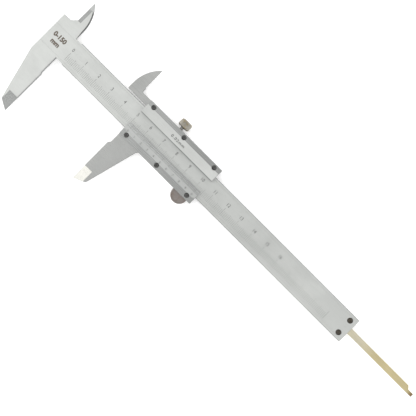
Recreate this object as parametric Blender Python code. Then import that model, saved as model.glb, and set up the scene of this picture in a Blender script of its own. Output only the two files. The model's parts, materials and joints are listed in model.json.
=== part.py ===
"""Vernier caliper: 0-150 mm range, 0.02 mm vernier, thumb-screw lock, thumb roller and depth rod.

The caliper lies on its back: +X runs along the beam towards the depth rod, +Y towards the inside jaws
and +Z out of the graduated face. Lengths below are in millimetres. Beam pieces are laid out from the
fixed measuring face (x = 0), the beam's centre line (y = 0) and the slider's back (z = 0). Slider pieces
use the same frame with x = 0 at the slider's own measuring face, so READING alone sets how far the
caliper is open.
"""

import math

import bmesh
import bpy
from mathutils import Vector

MM = 0.001
RUNNING_GAP = 0.05  # between pieces that touch or turn in each other

# Setting
READING = 52.4

# Beam
BEAM_WIDTH = 16.0
BEAM_BACK, BEAM_FRONT = 1.9, 5.2
BEAM_END = 219.3
BEAM_EDGE = BEAM_WIDTH / 2
EDGE_CHAMFER = 0.25
SCALE_LOW, SCALE_HIGH = -6.3, 6.5  # the graduated face is sunk between two guide strips
SCALE_DEPTH = 0.12
RELIEF_LENGTH, RELIEF_DEPTH = 4.0, 0.5  # grinding relief of the beam's edges beside the jaws
GROOVE_GAP, GROOVE_DEPTH, GROOVE_START = 0.1, 1.6, 12.0  # the gap is beside the depth rod

# Fixed jaws
HEAD_LEFT, HEAD_TOP = -13.8, 12.8
JAW_TIP_Y = -47.8
JAW_HEEL_Y = -44.1
JAW_HEEL_WIDTH = 5.9
JAW_SHOULDER_Y = -13.2
FACE_TOP_Y = -19.4  # above this the measuring faces stand back
FIXED_FACE_STEP = 0.45
INSIDE_EDGE_X = -6.4  # both inside measuring edges, from the outside measuring faces
HEAD_GUSSET = 2.5  # of the slant between the head and its inside jaw
INSIDE_EDGE_BASE_Y = HEAD_TOP + HEAD_GUSSET
INSIDE_TIP_Y = 28.9
INSIDE_SPLIT_Z = 3.6  # the fixed inside jaw lies in front of this height, the moving one behind it
FIXED_HORN_X, FIXED_HORN_Y = 0.3, 13.0  # where the horn's round side starts
FIXED_HORN_CHAMFER = 0.6  # broken front corner of the horn's round side

# Knife edges ground on the jaws
TIP_GRIND_Y = -37.9
TIP_GRIND_WIDTH = 5.6
TIP_GRIND_FRONT, TIP_GRIND_BACK = 1.7, 0.8
KNIFE_WIDTH, KNIFE_LAND = 2.4, 0.25
KNIFE_TIP_Y = 24.3
KNIFE_TIP_DROP = 1.0

# Slider frame
SLIDER_START, SLIDER_END = 1.1, 55.6
SLIDER_BOTTOM, SLIDER_TOP = -12.5, 13.0
WEB_TOP = 1.7
RAIL_FRONT = 5.25
RAIL_GAP = 0.08  # between the beam and the lower rail
LOWER_RAIL_Y = -BEAM_EDGE - RAIL_GAP
UPPER_RAIL_Y = BEAM_EDGE + 0.9
MOVING_JAW_FRONT = 5.0
MOVING_HORN_X, MOVING_HORN_Y = -13.4, 13.2
HORN_GAP = 0.1  # between the two inside jaws, which pass each other
MOVING_HORN_STEP = 0.35
MOVING_JAW_ROOT_X, MOVING_JAW_FILLET = 16.8, 2.0
MOVING_JAW_SLANT = 15  # of its right side from upright, in degrees
MOVING_HEEL = (6.85, -44.5)

# Front plates
PLATE_BACK, PLATE_FRONT, PLATE_RIM = 5.3, 7.2, 6.2
VERNIER_EDGE_Y, VERNIER_BEVEL_Y, VERNIER_SLOPE_Y = -3.7, -6.3, -9.1
VERNIER_EDGE_THICKNESS = 0.2
COVER_EDGE_Y, COVER_SLOPE_Y = 4.6, 10.2
COVER_EDGE_CHAMFER = 0.25

# Screws
SCREW_PITCH = 23.25
SCREW_MIDDLE_X = 28.05
VERNIER_SCREW_Y, COVER_SCREW_Y = -10.3, 11.0
PLATE_SCREW = {
    "head": 1.3, "head_height": 1.0, "shank": 0.8, "length": 1.9, "socket": 0.5, "socket_depth": 0.55,
}
PLATE_SCREW_SEAT_Z = 6.0
TAP_DEPTH = 2.0  # of the tapped holes below the screws' seats
END_SCREW = {
    "head": 1.5, "head_height": 0.75, "shank": 1.0, "length": 3.3, "socket": 0.6, "socket_depth": 0.45,
}
END_SCREW_SEAT_Z = 4.3
END_SCREW_X, END_SCREW_Y = 215.5, 4.5
HOLE_GAP = 0.08
SEAT_GAP = 0.15
DOME_SHARE = 0.25  # of a head's height, for each of the two steps of its dome
DOME_RADII = (0.94, 0.74)  # shares of the head's radius at those steps

# Stop plate on the beam's back
STOP_LENGTH, STOP_HALF_WIDTH = 7.0, 7.0
STOP_BACK = 0.85

# Depth rod
ROD_BOTTOM_Y, ROD_TOP_Y = -1.65, 2.1
ROD_BACK, ROD_FRONT = 1.95, 3.45
ROD_START = 34.0
ROD_END = BEAM_END - 2.8  # inside the beam's end at a reading of zero
ROD_NIB_LENGTH, ROD_NIB_SLOPE, ROD_NIB_TOP = 5.2, 1.4, 0.4
ROD_PIN_X = (38.0, 45.0)
ROD_PIN_RADIUS = 0.75
ROD_PIN_BACK, ROD_PIN_FRONT = 0.1, 2.9

# Gib and its set screws
GIB_START, GIB_END = 1.8, 54.6
GIB_BOTTOM, GIB_TOP = BEAM_EDGE + 0.15, BEAM_EDGE + 0.8
GIB_BACK, GIB_FRONT = 2.0, 5.1
SCREW_AXIS_Z = 3.6  # height of the lock screw's and the set screws' axes
SET_SCREW_X = (12.0, 41.0)
SET_SCREW_RADIUS, SET_SCREW_LENGTH = 1.0, 3.2
SET_SCREW_SLOT_WIDTH, SET_SCREW_SLOT_DEPTH = 0.35, 0.5

# Lock screw
LOCK_X = 23.4
LOCK_THREAD_RADIUS, LOCK_NECK_RADIUS = 1.2, 1.0
LOCK_THREAD_TOP = 12.5
KNOB_BOTTOM, KNOB_TOP, KNOB_RADIUS = 14.4, 18.9, 3.55
KNOB_BORE_TOP = 17.6
KNOB_FLUTES, KNOB_FLUTE_DEPTH, KNOB_CHAMFER = 40, 0.16, 0.6

# Thumb roller
ROLLER_X, ROLLER_RADIUS = 48.15, 5.0
ROLLER_Y = -BEAM_EDGE - RUNNING_GAP - ROLLER_RADIUS
ROLLER_BACK, ROLLER_FRONT = 1.4, 3.6
ROLLER_TEETH, ROLLER_TOOTH_DEPTH, ROLLER_CHAMFER = 48, 0.18, 0.3
ROLLER_BORE_TOP = 3.0
POCKET_RADIUS, POCKET_BACK, POCKET_FRONT = 5.3, 1.3, 3.8
EAR_RADIUS, EAR_BACK, EAR_FRONT = 3.2, 0.1, 1.2
AXLE_RADIUS, AXLE_HEAD_RADIUS, AXLE_HEAD_HEIGHT = 1.0, 1.6, 0.5
AXLE_BACK, AXLE_FRONT = 0.2, 2.9

# The row's origin: the middle of the whole caliper's length and width, at the height it rests on
ORIGIN = Vector(((HEAD_LEFT + READING + ROD_END) / 2, (JAW_TIP_Y + INSIDE_TIP_Y) / 2, 0.0))

ROUND = 24  # points round a screw or a pin
ARC_STEP = 4.0  # degrees between the points of an outline's arc
SHARPEST_ROUND = 35.0  # degrees between faces of a turned piece that still shade as one
SAME_PLACE = 0.001  # points nearer than this count as one
OVERSIZE = 1.0  # how far a cutter runs past the surface that it starts from
ACROSS = (-math.pi / 2, 0, 0)  # turns a piece's Z axis to +Y


# ---- Scene helpers ----


def clear_scene():
    for obj in list(bpy.data.objects):
        bpy.data.objects.remove(obj, do_unlink=True)


def make_material(name, colour, roughness, metallic):
    material = bpy.data.materials.new(name)
    material.use_nodes = True
    shader = material.node_tree.nodes["Principled BSDF"]
    shader.inputs["Base Color"].default_value = (*colour, 1.0)
    shader.inputs["Roughness"].default_value = roughness
    shader.inputs["Metallic"].default_value = metallic
    return material


def make_empty(name, location, parent=None):
    empty = bpy.data.objects.new(name, None)
    bpy.context.scene.collection.objects.link(empty)
    empty.parent = parent
    empty.location = Vector(location) * MM
    return empty


def make_object(name, bm, parent, material=None, location=(0, 0, 0), rotation=(0, 0, 0)):
    """An object of the mesh in bm, which is in millimetres."""
    bmesh.ops.recalc_face_normals(bm, faces=bm.faces)
    bmesh.ops.scale(bm, vec=(MM, MM, MM), verts=bm.verts)
    mesh = bpy.data.meshes.new(name)
    bm.to_mesh(mesh)
    bm.free()
    if material:
        mesh.materials.append(material)
    return place_mesh(name, mesh, parent, location, rotation)


def place_mesh(name, mesh, parent, location=(0, 0, 0), rotation=(0, 0, 0)):
    obj = bpy.data.objects.new(name, mesh)
    bpy.context.scene.collection.objects.link(obj)
    obj.parent = parent
    obj.location = Vector(location) * MM
    obj.rotation_euler = rotation
    return obj


def shade_round(obj):
    """Smooth shading on a turned piece, with its corners kept sharp."""
    obj.data.shade_smooth()
    obj.data.set_sharp_from_angle(angle=math.radians(SHARPEST_ROUND))


def combine(target, operation, tools):
    """Cuts each tool from the target, or joins it on. The tools stay in the scene as hidden guides."""
    for tool in tools:
        modifier = target.modifiers.new(tool.name, "BOOLEAN")
        modifier.operation = operation
        modifier.object = tool
        tool.hide_render = True
        tool.display_type = "WIRE"


# ---- Shapes, in millimetres ----


def prism(outline, low, high, axis="Z"):
    """The outline extruded from low to high. It lies in XY, or in YZ for axis X, or in XZ for axis Y."""
    to_point = {
        "X": lambda a, b, h: (h, a, b),
        "Y": lambda a, b, h: (a, h, b),
        "Z": lambda a, b, h: (a, b, h),
    }[axis]
    bm = bmesh.new()
    base = bm.faces.new([bm.verts.new(to_point(a, b, low)) for a, b in outline])
    rise = Vector(to_point(0, 0, high)) - Vector(to_point(0, 0, low))
    extruded = bmesh.ops.extrude_face_region(bm, geom=[base])["geom"]
    moved = [item for item in extruded if isinstance(item, bmesh.types.BMVert)]
    bmesh.ops.translate(bm, vec=rise, verts=moved)
    return bm


def box(low, high):
    (x0, y0, z0), (x1, y1, z1) = low, high
    return prism([(x0, y0), (x1, y0), (x1, y1), (x0, y1)], z0, z1)


def circle(radius):
    return lambda angle: radius


def hexagon(apothem):
    """A hexagon's radius at each angle, with corners at every 60 degrees."""
    return lambda angle: apothem / math.cos(angle % (math.pi / 3) - math.pi / 6)


def fluted(radius, depth, flutes):
    """Round with V grooves: the radius is full on each ridge and less by depth in each groove."""
    return lambda angle: radius - depth * (round(angle * flutes / math.pi) % 2)


def loft(levels, count=ROUND):
    """A closed solid through rings about the Z axis. Each level is a height and a radius for each angle."""
    bm = bmesh.new()
    rings = []
    for height, radius_at in levels:
        angles = [2 * math.pi * i / count for i in range(count)]
        rings.append([
            bm.verts.new((radius_at(a) * math.cos(a), radius_at(a) * math.sin(a), height)) for a in angles
        ])
    for lower, upper in zip(rings, rings[1:]):
        for i in range(count):
            j = (i + 1) % count
            bm.faces.new((lower[i], lower[j], upper[j], upper[i]))
    bm.faces.new(rings[0])
    bm.faces.new(rings[-1])
    return bm


def cylinder(radius, low, high, count=ROUND):
    return loft([(low, circle(radius)), (high, circle(radius))], count)


def arc(centre, radius, start, end):
    """Points of an arc, from the start angle to the end angle in degrees."""
    steps = math.ceil(abs(end - start) / ARC_STEP)
    angles = [math.radians(start + (end - start) * i / steps) for i in range(steps + 1)]
    return [(centre[0] + radius * math.cos(a), centre[1] + radius * math.sin(a)) for a in angles]


def horn_side(base_x, base_y, tip_x, tip_y):
    """A horn's round side: an arc that leaves the base upwards and ends at the tip."""
    width, height = tip_x - base_x, tip_y - base_y
    radius = (width**2 + height**2) / (2 * abs(width))
    side = math.copysign(1, width)
    centre = (base_x + side * radius, base_y)
    sweep = math.degrees(math.asin(height / radius))
    if side > 0:
        return arc(centre, radius, 180, 180 - sweep)
    return arc(centre, radius, 0, sweep)


# ---- Beam with the fixed jaws ----


def beam_outline():
    """The beam seen from the front, from the head's top left corner round by the outside jaw."""
    step_x = -FIXED_FACE_STEP
    relief_y = BEAM_EDGE - RELIEF_DEPTH
    relief_end = RELIEF_LENGTH + RELIEF_DEPTH
    horn = horn_side(FIXED_HORN_X, FIXED_HORN_Y, INSIDE_EDGE_X, INSIDE_TIP_Y)
    return [
        (HEAD_LEFT, HEAD_TOP),
        (HEAD_LEFT, JAW_SHOULDER_Y),
        (-JAW_HEEL_WIDTH, JAW_HEEL_Y),
        (0, JAW_TIP_Y),
        (0, FACE_TOP_Y),
        (step_x, FACE_TOP_Y + FIXED_FACE_STEP),
        (step_x, -relief_y),
        (RELIEF_LENGTH, -relief_y),
        (relief_end, -BEAM_EDGE),
        (BEAM_END, -BEAM_EDGE),
        (BEAM_END, BEAM_EDGE),
        (relief_end, BEAM_EDGE),
        (RELIEF_LENGTH, relief_y),
        (FIXED_HORN_X, relief_y),
        *horn,
        (INSIDE_EDGE_X, INSIDE_EDGE_BASE_Y),
        (INSIDE_EDGE_X - HEAD_GUSSET, HEAD_TOP),
    ]


def chamfer_edges(bm, offset, is_chosen):
    """Breaks the corners that is_chosen picks by their two ends."""
    edges = [edge for edge in bm.edges if is_chosen(*(vert.co for vert in edge.verts))]
    bmesh.ops.bevel(bm, geom=edges, offset=offset, segments=1, affect="EDGES")


def is_long(start, end):
    return (end - start).length > BEAM_END / 2


def is_horn_front(start, end):
    """Whether an edge is at the front of the fixed horn's round side, short of its tip."""
    at_front = min(start.z, end.z) > BEAM_FRONT - SAME_PLACE
    above_base = min(start.y, end.y) > FIXED_HORN_Y - SAME_PLACE
    right_of_tip = min(start.x, end.x) > INSIDE_EDGE_X + SAME_PLACE
    return at_front and above_base and right_of_tip


def grind(name, parent, x_at, z_at, y_range, above):
    """A cutter that grinds a flat between two (x, z) corners, removing what is above or below it."""
    (x0, z0), (x1, z1) = x_at, z_at
    past = z0 + OVERSIZE * (1 if above else -1)
    run = OVERSIZE * (1 if x1 > x0 else -1)
    outer_z = z1 + (z1 - z0) / (x1 - x0) * run
    outline = [(x0, z0), (x1 + run, outer_z), (x1 + run, past), (x0, past)]
    return make_object(name, prism(outline, *y_range, axis="Y"), parent)


def tip_grinds(prefix, parent, face_x, back_x, front_z):
    """The pair of flats that thin an outside jaw's tip towards its measuring face."""
    y_range = (JAW_TIP_Y - OVERSIZE, TIP_GRIND_Y)
    front_edge = (face_x, front_z - TIP_GRIND_FRONT)
    back_edge = (face_x, BEAM_BACK + TIP_GRIND_BACK)
    return [
        grind(prefix + "_tip_front", parent, (back_x, front_z), front_edge, y_range, True),
        grind(prefix + "_tip_back", parent, (back_x, BEAM_BACK), back_edge, y_range, False),
    ]


def fixed_knife_grinds(parent):
    """The flats that sharpen the fixed inside jaw from its front, the one at the tip slighter."""
    steep_edge = (INSIDE_EDGE_X, INSIDE_SPLIT_Z + KNIFE_LAND)
    steep_range = (INSIDE_EDGE_BASE_Y, KNIFE_TIP_Y)
    slight_edge = (INSIDE_EDGE_X, BEAM_FRONT - KNIFE_TIP_DROP)
    slight_range = (KNIFE_TIP_Y, INSIDE_TIP_Y + OVERSIZE)
    inner_x = INSIDE_EDGE_X + KNIFE_WIDTH
    return [
        grind("cut_fixed_knife", parent, (inner_x, BEAM_FRONT), steep_edge, steep_range, True),
        grind("cut_fixed_knife_tip", parent, (FIXED_HORN_X, BEAM_FRONT), slight_edge, slight_range, True),
    ]


def make_beam(parent, material):
    bm = prism(beam_outline(), BEAM_BACK, BEAM_FRONT)
    bmesh.ops.recalc_face_normals(bm, faces=bm.faces)
    chamfer_edges(bm, EDGE_CHAMFER, is_long)
    chamfer_edges(bm, FIXED_HORN_CHAMFER, is_horn_front)
    beam = make_object("beam", bm, parent, material)
    behind_horn = box(
        (HEAD_LEFT - OVERSIZE, BEAM_EDGE, BEAM_BACK - OVERSIZE),
        (FIXED_HORN_X + OVERSIZE, INSIDE_TIP_Y + OVERSIZE, INSIDE_SPLIT_Z),
    )
    face = box(
        (HEAD_LEFT - OVERSIZE, SCALE_LOW, BEAM_FRONT - SCALE_DEPTH),
        (BEAM_END + OVERSIZE, SCALE_HIGH, BEAM_FRONT + OVERSIZE),
    )
    groove = box(
        (GROOVE_START, ROD_BOTTOM_Y - GROOVE_GAP, BEAM_BACK - OVERSIZE),
        (BEAM_END + OVERSIZE, ROD_TOP_Y + GROOVE_GAP, BEAM_BACK + GROOVE_DEPTH),
    )
    tools = [
        make_object("cut_behind_horn", behind_horn, parent),
        make_object("cut_graduated_face", face, parent),
        make_object("cut_rod_groove", groove, parent),
        *tip_grinds("cut_fixed", parent, 0, -TIP_GRIND_WIDTH, BEAM_FRONT),
        *fixed_knife_grinds(parent),
    ]
    for side in (-1, 1):
        where = (END_SCREW_X, side * END_SCREW_Y, 0)
        hole = cylinder(END_SCREW["shank"] + HOLE_GAP, BEAM_BACK - OVERSIZE, BEAM_FRONT + OVERSIZE)
        seat = cylinder(
            END_SCREW["head"] + SEAT_GAP, END_SCREW_SEAT_Z - RUNNING_GAP, BEAM_FRONT + OVERSIZE,
        )
        tools.append(make_object(f"cut_end_hole_{side:+d}", hole, parent, location=where))
        tools.append(make_object(f"cut_end_seat_{side:+d}", seat, parent, location=where))
    combine(beam, "DIFFERENCE", tools)
    return beam


# ---- Screws and pins ----


def screw_shape(sizes):
    """A cap screw with its head's seat at z = 0: shank down, domed head up, hex socket on top."""
    head, height, shank = sizes["head"], sizes["head_height"], sizes["shank"]
    tip_chamfer = 0.2
    dome = DOME_SHARE * height
    lower_dome, upper_dome = (share * head for share in DOME_RADII)
    return loft([
        (-sizes["length"], circle(shank - tip_chamfer)),
        (tip_chamfer - sizes["length"], circle(shank)),
        (0, circle(shank)),
        (0, circle(head)),
        (height - 2 * dome, circle(head)),
        (height - dome, circle(lower_dome)),
        (height, circle(upper_dome)),
        (height, hexagon(sizes["socket"])),
        (height - sizes["socket_depth"], hexagon(sizes["socket"])),
    ])


def make_screws(places, sizes, parent, material):
    """One screw object at each named place, all sharing one mesh."""
    (first_name, first_place), *others = places.items()
    first = make_object(first_name, screw_shape(sizes), parent, material, first_place)
    shade_round(first)
    for name, place in others:
        place_mesh(name, first.data, parent, place)


def end_screw_places():
    return {
        "end_screw_lower": (END_SCREW_X, -END_SCREW_Y, END_SCREW_SEAT_Z),
        "end_screw_upper": (END_SCREW_X, END_SCREW_Y, END_SCREW_SEAT_Z),
    }


def plate_screw_places():
    """The three screws of each front plate, counted from the jaws."""
    rows = {"vernier_plate_screw": VERNIER_SCREW_Y, "cover_plate_screw": COVER_SCREW_Y}
    return {
        f"{name}_{i + 1}": (SCREW_MIDDLE_X + (i - 1) * SCREW_PITCH, y, PLATE_SCREW_SEAT_Z)
        for name, y in rows.items()
        for i in range(3)
    }


def make_stop_plate(parent, material):
    """The plate behind the beam's end. It stops the slider and keeps the depth rod in its groove."""
    low = (BEAM_END - STOP_LENGTH, -STOP_HALF_WIDTH, STOP_BACK)
    high = (BEAM_END - RUNNING_GAP, STOP_HALF_WIDTH, BEAM_BACK - RUNNING_GAP)
    plate = make_object("stop_plate", box(low, high), parent, material)
    holes = []
    for side in (-1, 1):
        hole = cylinder(END_SCREW["shank"] + HOLE_GAP, STOP_BACK - OVERSIZE, BEAM_BACK + OVERSIZE)
        where = (END_SCREW_X, side * END_SCREW_Y, 0)
        holes.append(make_object(f"cut_stop_hole_{side:+d}", hole, parent, location=where))
    combine(plate, "DIFFERENCE", holes)


# ---- Slider frame with the moving jaws ----


def moving_jaw_outline():
    """The outside jaw, whose top is buried in the lower rail."""
    root_y = (SLIDER_BOTTOM + LOWER_RAIL_Y) / 2
    fillet_centre = (MOVING_JAW_ROOT_X, SLIDER_BOTTOM - MOVING_JAW_FILLET)
    return [
        (SLIDER_START, root_y),
        (SLIDER_START, FACE_TOP_Y + SLIDER_START / 2),
        (0, FACE_TOP_Y - SLIDER_START / 2),
        (0, JAW_TIP_Y),
        MOVING_HEEL,
        *arc(fillet_centre, MOVING_JAW_FILLET, 180 - MOVING_JAW_SLANT, 90),
        (MOVING_JAW_ROOT_X, root_y),
    ]


def moving_horn_outline():
    """The inside jaw and the strip that joins it to the upper rail."""
    buried_x = SLIDER_START + 2 * OVERSIZE
    step_x = INSIDE_EDGE_X + MOVING_HORN_STEP
    bottom = UPPER_RAIL_Y + RUNNING_GAP
    horn = horn_side(MOVING_HORN_X, MOVING_HORN_Y, INSIDE_EDGE_X, INSIDE_TIP_Y)
    return [
        (MOVING_HORN_X, bottom),
        *horn,
        (INSIDE_EDGE_X, INSIDE_EDGE_BASE_Y + MOVING_HORN_STEP),
        (step_x, INSIDE_EDGE_BASE_Y),
        (step_x, HEAD_TOP),
        (buried_x, HEAD_TOP),
        (buried_x, bottom),
    ]


def channel_section():
    """The frame across the beam, in YZ: the web behind the beam and a rail beyond each of its edges."""
    return [
        (SLIDER_BOTTOM, 0),
        (SLIDER_TOP, 0),
        (SLIDER_TOP, RAIL_FRONT),
        (UPPER_RAIL_Y, RAIL_FRONT),
        (UPPER_RAIL_Y, WEB_TOP),
        (LOWER_RAIL_Y, WEB_TOP),
        (LOWER_RAIL_Y, RAIL_FRONT),
        (SLIDER_BOTTOM, RAIL_FRONT),
    ]


def frame_holes(parent):
    """Cutters for every screw and pin that the frame holds."""
    cutters = []
    for name, (x, y, _) in plate_screw_places().items():
        hole = cylinder(PLATE_SCREW["shank"] + HOLE_GAP, PLATE_SCREW_SEAT_Z - TAP_DEPTH, PLATE_FRONT)
        cutters.append(make_object("cut_tap_" + name, hole, parent, location=(x, y, 0)))
    side_holes = {"lock": (LOCK_X, LOCK_THREAD_RADIUS)}
    side_holes.update({f"set_{i + 1}": (x, SET_SCREW_RADIUS) for i, x in enumerate(SET_SCREW_X)})
    for name, (x, radius) in side_holes.items():
        hole = cylinder(radius + HOLE_GAP, UPPER_RAIL_Y - OVERSIZE / 2, SLIDER_TOP + OVERSIZE)
        where = (x, 0, SCREW_AXIS_Z)
        cutters.append(make_object("cut_side_" + name, hole, parent, location=where, rotation=ACROSS))
    for i, x in enumerate(ROD_PIN_X):
        hole = cylinder(ROD_PIN_RADIUS + RUNNING_GAP, -OVERSIZE, WEB_TOP + OVERSIZE)
        cutters.append(make_object(f"cut_pin_{i + 1}", hole, parent, location=(x, 0, 0)))
    return cutters


def roller_cutters(parent):
    """The pocket that the thumb roller turns in, and its axle's stepped hole in the ear."""
    where = (ROLLER_X, ROLLER_Y, 0)
    shapes = {
        "cut_roller_pocket": cylinder(POCKET_RADIUS, POCKET_BACK, POCKET_FRONT, 2 * ROUND),
        "cut_axle_hole": cylinder(AXLE_RADIUS + RUNNING_GAP, -OVERSIZE, POCKET_BACK + OVERSIZE / 2),
        "cut_axle_seat": cylinder(
            AXLE_HEAD_RADIUS + RUNNING_GAP, -OVERSIZE, AXLE_BACK + AXLE_HEAD_HEIGHT + RUNNING_GAP
        ),
    }
    return [make_object(name, shape, parent, location=where) for name, shape in shapes.items()]


def make_frame(parent, material):
    channel = prism(channel_section(), SLIDER_START, SLIDER_END, "X")
    frame = make_object("slider_frame", channel, parent, material)
    jaw = make_object("join_jaw", prism(moving_jaw_outline(), BEAM_BACK, MOVING_JAW_FRONT), parent)
    horn_front = INSIDE_SPLIT_Z - HORN_GAP
    horn = make_object("join_horn", prism(moving_horn_outline(), BEAM_BACK, horn_front), parent)
    ear_shape = cylinder(EAR_RADIUS, EAR_BACK, EAR_FRONT, 2 * ROUND)
    ear = make_object("join_ear", ear_shape, parent, location=(ROLLER_X, ROLLER_Y, 0))
    knife_edge = (INSIDE_EDGE_X, horn_front - KNIFE_LAND)
    knife_range = (INSIDE_EDGE_BASE_Y + MOVING_HORN_STEP, INSIDE_TIP_Y + OVERSIZE)
    inner_x = INSIDE_EDGE_X - KNIFE_WIDTH
    knife = grind("cut_moving_knife", parent, (inner_x, BEAM_BACK), knife_edge, knife_range, False)
    combine(frame, "UNION", [jaw, horn, ear])
    grinds = tip_grinds("cut_moving", parent, 0, TIP_GRIND_WIDTH, MOVING_JAW_FRONT)
    combine(frame, "DIFFERENCE", [*grinds, knife, *roller_cutters(parent), *frame_holes(parent)])


# ---- Front plates ----


def vernier_section():
    """The vernier plate in YZ: a thin graduated bevel, a flat for the numbers and a sloping rim."""
    return [
        (VERNIER_EDGE_Y, PLATE_BACK),
        (VERNIER_EDGE_Y, PLATE_BACK + VERNIER_EDGE_THICKNESS),
        (VERNIER_BEVEL_Y, PLATE_FRONT),
        (VERNIER_SLOPE_Y, PLATE_FRONT),
        (SLIDER_BOTTOM, PLATE_RIM),
        (SLIDER_BOTTOM, PLATE_BACK),
    ]


def cover_section():
    return [
        (COVER_EDGE_Y, PLATE_BACK),
        (COVER_EDGE_Y, PLATE_FRONT - COVER_EDGE_CHAMFER),
        (COVER_EDGE_Y + COVER_EDGE_CHAMFER, PLATE_FRONT),
        (COVER_SLOPE_Y, PLATE_FRONT),
        (SLIDER_TOP, PLATE_RIM),
        (SLIDER_TOP, PLATE_BACK),
    ]


def make_plate(name, section, parent, material):
    """A front plate, with a through hole and a spot-faced seat for each of its screws."""
    plate = make_object(name, prism(section, SLIDER_START, SLIDER_END, "X"), parent, material)
    cutters = []
    for screw, (x, y, seat_z) in plate_screw_places().items():
        if not screw.startswith(name):
            continue
        hole = cylinder(PLATE_SCREW["shank"] + HOLE_GAP, PLATE_BACK - OVERSIZE, seat_z)
        seat = cylinder(PLATE_SCREW["head"] + SEAT_GAP, seat_z - RUNNING_GAP, PLATE_FRONT + OVERSIZE)
        cutters.append(make_object("cut_hole_" + screw, hole, parent, location=(x, y, 0)))
        cutters.append(make_object("cut_seat_" + screw, seat, parent, location=(x, y, 0)))
    combine(plate, "DIFFERENCE", cutters)


# ---- Depth rod ----


def make_depth_rod(parent, material):
    """The flat rod, whose end is narrowed to a nib."""
    nib_x = ROD_END - ROD_NIB_LENGTH
    outline = [
        (ROD_START, ROD_BOTTOM_Y),
        (ROD_END, ROD_BOTTOM_Y),
        (ROD_END, ROD_NIB_TOP),
        (nib_x + ROD_NIB_SLOPE, ROD_NIB_TOP),
        (nib_x, ROD_TOP_Y),
        (ROD_START, ROD_TOP_Y),
    ]
    rod = make_object("depth_rod", prism(outline, ROD_BACK, ROD_FRONT), parent, material)
    holes = []
    for i, x in enumerate(ROD_PIN_X):
        hole = cylinder(ROD_PIN_RADIUS + RUNNING_GAP, ROD_BACK - OVERSIZE, ROD_PIN_FRONT + RUNNING_GAP)
        holes.append(make_object(f"cut_rod_pin_{i + 1}", hole, parent, location=(x, 0, 0)))
    combine(rod, "DIFFERENCE", holes)


def make_rod_pins(parent, material):
    chamfer = 0.15
    for i, x in enumerate(ROD_PIN_X):
        shape = loft([
            (ROD_PIN_BACK, circle(ROD_PIN_RADIUS)),
            (ROD_PIN_FRONT - chamfer, circle(ROD_PIN_RADIUS)),
            (ROD_PIN_FRONT, circle(ROD_PIN_RADIUS - chamfer)),
        ])
        shade_round(make_object(f"depth_rod_pin_{i + 1}", shape, parent, material, location=(x, 0, 0)))


# ---- Gib, set screws and lock screw ----


def make_gib(parent, material):
    """The strip between the upper rail and the beam's edge, which the lock screw presses on."""
    low = (GIB_START - LOCK_X, GIB_BOTTOM, GIB_BACK - SCREW_AXIS_Z)
    high = (GIB_END - LOCK_X, GIB_TOP, GIB_FRONT - SCREW_AXIS_Z)
    make_object("gib_strip", box(low, high), parent, material)


def make_set_screws(parent, material):
    """Two slotted set screws in the upper rail, with their points just off the gib."""
    chamfer = 0.2
    point = GIB_TOP + RUNNING_GAP
    top = point + SET_SCREW_LENGTH
    for i, x in enumerate(SET_SCREW_X):
        shape = loft([
            (point, circle(SET_SCREW_RADIUS - 2 * chamfer)),
            (point + 2 * chamfer, circle(SET_SCREW_RADIUS)),
            (top - chamfer, circle(SET_SCREW_RADIUS)),
            (top, circle(SET_SCREW_RADIUS - chamfer)),
        ])
        where = (x, 0, SCREW_AXIS_Z)
        screw = make_object(f"gib_set_screw_{i + 1}", shape, parent, material, where, ACROSS)
        shade_round(screw)
        reach = SET_SCREW_RADIUS + OVERSIZE
        slot = box(
            (x - reach, top - SET_SCREW_SLOT_DEPTH, SCREW_AXIS_Z - SET_SCREW_SLOT_WIDTH / 2),
            (x + reach, top + OVERSIZE, SCREW_AXIS_Z + SET_SCREW_SLOT_WIDTH / 2),
        )
        combine(screw, "DIFFERENCE", [make_object(f"cut_slot_{i + 1}", slot, parent)])


def make_lock_screw(parent, shank_material, knob_material):
    """The thumb screw, along its own +Z: a threaded shank with a thinner neck, and a fluted knob on it."""
    tip_chamfer = 0.3
    tip = GIB_TOP + RUNNING_GAP
    shank = loft([
        (tip, circle(LOCK_THREAD_RADIUS - tip_chamfer)),
        (tip + tip_chamfer, circle(LOCK_THREAD_RADIUS)),
        (LOCK_THREAD_TOP, circle(LOCK_THREAD_RADIUS)),
        (LOCK_THREAD_TOP + tip_chamfer, circle(LOCK_NECK_RADIUS)),
        (KNOB_BORE_TOP - RUNNING_GAP, circle(LOCK_NECK_RADIUS)),
    ])
    shade_round(make_object("lock_screw_shank", shank, parent, shank_material))
    flank = fluted(KNOB_RADIUS, KNOB_FLUTE_DEPTH, KNOB_FLUTES)
    end = circle(KNOB_RADIUS - KNOB_CHAMFER)
    bore = circle(LOCK_NECK_RADIUS + RUNNING_GAP)
    knob = loft([
        (KNOB_BORE_TOP, bore),
        (KNOB_BOTTOM, bore),
        (KNOB_BOTTOM, end),
        (KNOB_BOTTOM + KNOB_CHAMFER, flank),
        (KNOB_TOP - KNOB_CHAMFER, flank),
        (KNOB_TOP, end),
    ], 2 * KNOB_FLUTES)
    make_object("lock_screw_knob", knob, parent, knob_material)


# ---- Thumb roller ----


def make_roller(parent, material):
    """The milled wheel that rolls on the beam's lower edge. Its bore is blind, for a plain front."""
    flank = fluted(ROLLER_RADIUS, ROLLER_TOOTH_DEPTH, ROLLER_TEETH)
    end = circle(ROLLER_RADIUS - ROLLER_CHAMFER)
    bore = circle(AXLE_RADIUS + RUNNING_GAP)
    roller = loft([
        (ROLLER_BORE_TOP, bore),
        (ROLLER_BACK, bore),
        (ROLLER_BACK, end),
        (ROLLER_BACK + ROLLER_CHAMFER, flank),
        (ROLLER_FRONT - ROLLER_CHAMFER, flank),
        (ROLLER_FRONT, end),
    ], 2 * ROLLER_TEETH)
    make_object("thumb_roller", roller, parent, material)


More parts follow.
